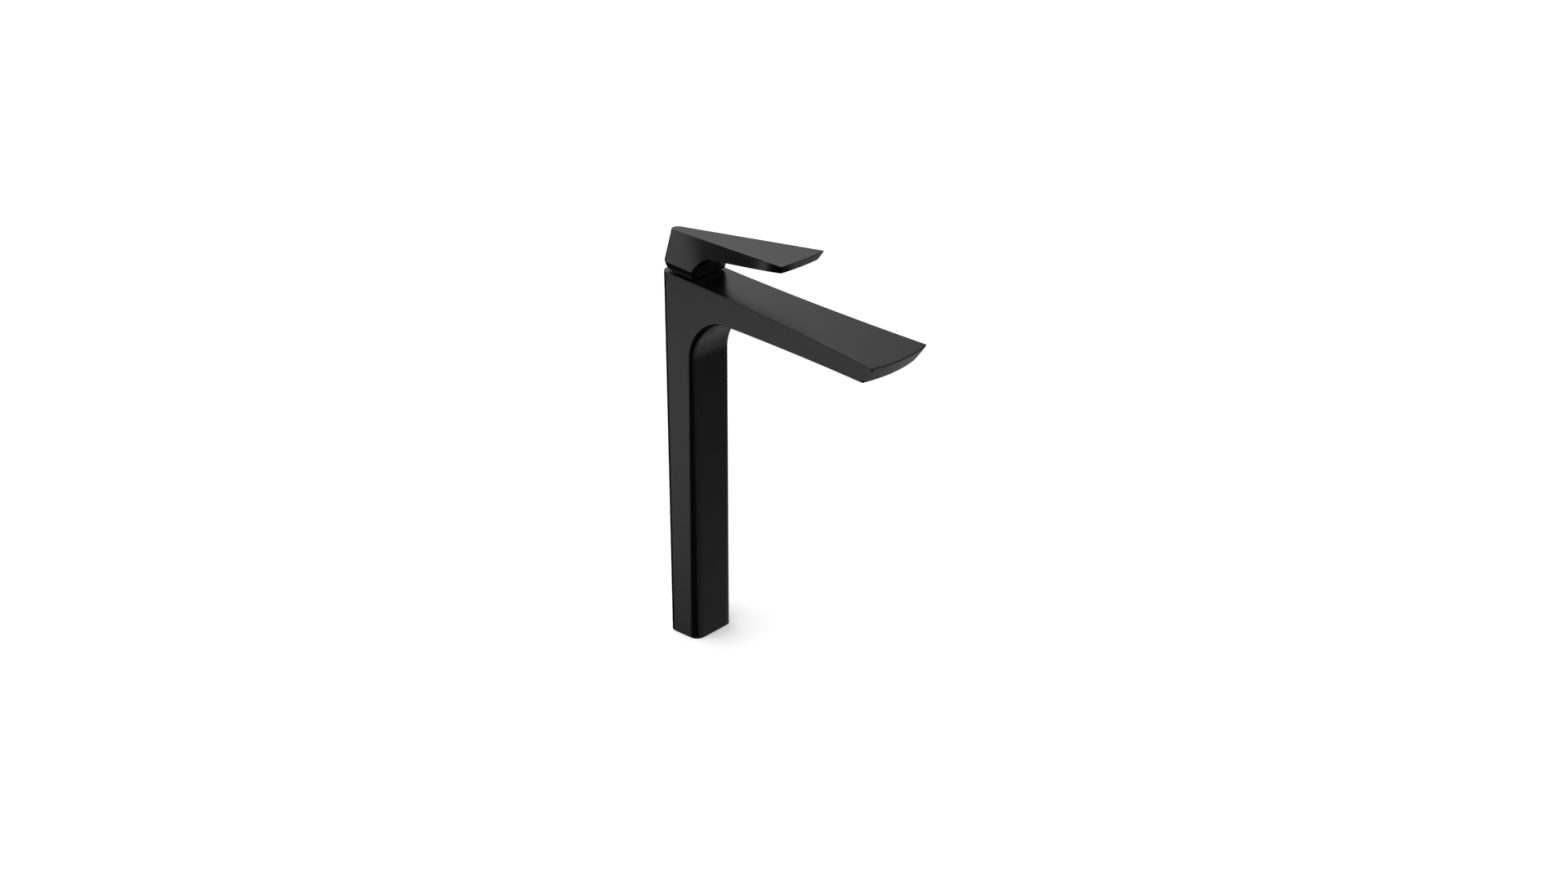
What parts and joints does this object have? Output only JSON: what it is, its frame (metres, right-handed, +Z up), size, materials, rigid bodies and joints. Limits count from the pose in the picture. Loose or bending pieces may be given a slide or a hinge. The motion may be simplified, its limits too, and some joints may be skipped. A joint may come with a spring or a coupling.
{
  "type": "tall basin mixer tap",
  "caption": "Tall single-lever basin mixer with a rectangular column, a flared flat spout and a lever that lifts and turns a ceramic cartridge.",
  "frame": {"origin": "centre of the column's foot, in the plane of the deck it stands on", "axes": "+Z up from the deck, -Y along the spout towards the user, X across the width with the hot inlet at -X"},
  "size_m": [0.0544, 0.1998, 0.3046],
  "materials": {
    "black_finish": "satin-gloss black electrophoretic paint on cast brass",
    "brass": "as machined",
    "steel": "stainless, as turned",
    "copper": "drawn copper tube",
    "seal_rubber": "matt",
    "cartridge_plastic": "moulded, matt",
    "ceramic": "lapped ceramic",
    "limit_red": "moulded, matt",
    "plug_plastic": "black, glossy",
    "aerator_chrome": "chrome plated",
    "aerator_plastic": "moulded, matt"
  },
  "bodies": {
    "mixer_body": {"body": "black_finish", "base_block": "brass", "base_screws": "steel", "base_gasket": "seal_rubber", "hot_riser": "copper", "cold_riser": "copper", "riser_seals": "seal_rubber", "cartridge_base": "cartridge_plastic", "port_seals": "seal_rubber", "fixed_disc": "ceramic", "cartridge_shell": "cartridge_plastic", "limit_ring": "limit_red", "cartridge_nut": "brass", "cover_ring": "black_finish", "aerator_shell": "aerator_chrome", "aerator_core": "aerator_plastic", "aerator_screen": "aerator_chrome", "aerator_washer": "seal_rubber"},
    "turntable": {"rotor": "cartridge_plastic", "pivot_pin": "steel"},
    "lever_arm": {"lever": "black_finish", "lever_bush": "cartridge_plastic", "grub_screw": "steel", "grub_plug": "plug_plastic", "stem": "brass"},
    "disc_slide": {"moving_disc": "ceramic", "disc_carrier": "cartridge_plastic"}
  },
  "joints": [
    {"name": "swivel", "type": "hinge", "parent": "mixer_body", "child": "turntable", "pos_m": [0, -0.0025, 0.27442], "axis": [0, -0.0924, 0.9957], "range_deg": [-45, 45]},
    {"name": "lift", "type": "hinge", "parent": "turntable", "child": "lever_arm", "pos_m": [0, 0.00405, 0.2688], "axis": [-1, 0, 0], "range_deg": [0, 15]},
    {"name": "disc_shift", "type": "slide", "parent": "turntable", "child": "disc_slide", "axis": [0, -0.9957, -0.0924], "range_m": [0, 0.00135]}
  ],
  "couplings": [
    {"joint": "disc_shift", "follows": "lift", "m_per_rad": 0.00508}
  ]
}
